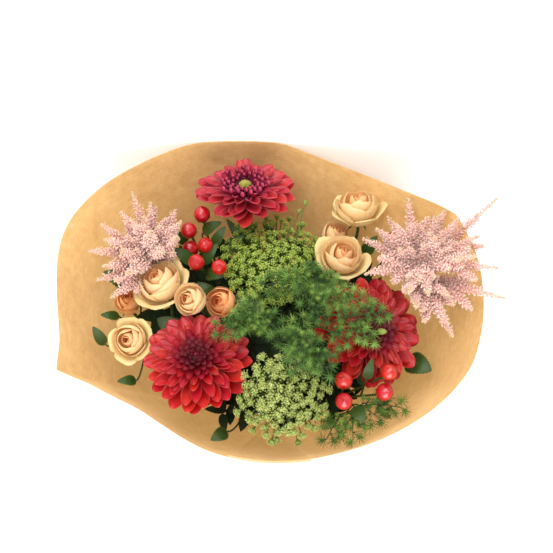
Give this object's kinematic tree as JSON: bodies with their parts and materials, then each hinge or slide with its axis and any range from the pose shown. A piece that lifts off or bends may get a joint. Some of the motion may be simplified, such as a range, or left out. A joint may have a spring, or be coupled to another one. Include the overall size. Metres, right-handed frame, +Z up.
{
  "type": "flower bouquet",
  "caption": "Hand-tied bouquet of mixed dahlias, spray roses, umbels, berries, astilbe and fern in a rolled kraft-paper wrapper, lying on its side.",
  "frame": {"origin": "middle of the bouquet's footprint, on the surface it lies on", "axes": "+Z up from the surface; the cut stem ends point toward +Y and down, the flower heads face -Y and up; +X is to the left of someone who stands at the cut ends and looks toward the heads"},
  "size_m": [0.383, 0.4411, 0.2805],
  "materials": {
    "kraft": "matte",
    "twine": "matte",
    "stem_green": "satin",
    "leaf_green": "satin",
    "fern_green": "matte",
    "umbel_green": "matte",
    "dahlia_coral": "satin",
    "dahlia_pink": "satin",
    "dahlia_wine": "satin",
    "dahlia_eye": "matte",
    "rose_cream": "satin",
    "rose_peach": "satin",
    "berry_red": "gloss",
    "astilbe_pink": "matte"
  },
  "bodies": {
    "root": {"paper_wrapper": "kraft", "twine_tie": "twine", "dahlia_1_petals": "dahlia_coral", "dahlia_1_heart": "dahlia_wine", "dahlia_1_stem": "stem_green", "dahlia_2_petals": "dahlia_pink", "dahlia_2_heart": "dahlia_wine", "dahlia_2_stem": "stem_green", "dahlia_3_petals": "dahlia_coral", "dahlia_3_heart": "dahlia_wine", "dahlia_3_stem": "stem_green", "dahlia_2_eye": "dahlia_eye", "rose_1a_bloom": "rose_cream", "rose_1b_bloom": "rose_cream", "rose_1c_bloom": "rose_peach", "rose_2a_bloom": "rose_cream", "rose_2b_bloom": "rose_peach", "rose_3a_bloom": "rose_cream", "rose_3b_bloom": "rose_cream", "rose_4a_bloom": "rose_cream", "rose_4b_bloom": "rose_peach", "rose_1_spray": "leaf_green", "rose_2_spray": "leaf_green", "rose_3_spray": "leaf_green", "rose_4_spray": "leaf_green", "umbel_1": "umbel_green", "umbel_2": "umbel_green", "hypericum_1_berry_1": "berry_red", "hypericum_1_berry_2": "berry_red", "hypericum_1_berry_3": "berry_red", "hypericum_1_berry_4": "berry_red", "hypericum_1_berry_5": "berry_red", "hypericum_1_berry_6": "berry_red", "hypericum_2_berry_1": "berry_red", "hypericum_2_berry_2": "berry_red", "hypericum_2_berry_3": "berry_red", "hypericum_2_berry_4": "berry_red", "hypericum_1_stem": "leaf_green", "hypericum_2_stem": "leaf_green", "astilbe_1_plume": "astilbe_pink", "astilbe_2_plume": "astilbe_pink", "astilbe_1_stem": "stem_green", "astilbe_2_stem": "stem_green", "fern_1": "fern_green", "fern_2": "fern_green", "fern_3": "fern_green", "fern_4": "fern_green", "fern_5": "fern_green"}
  },
  "joints": []
}
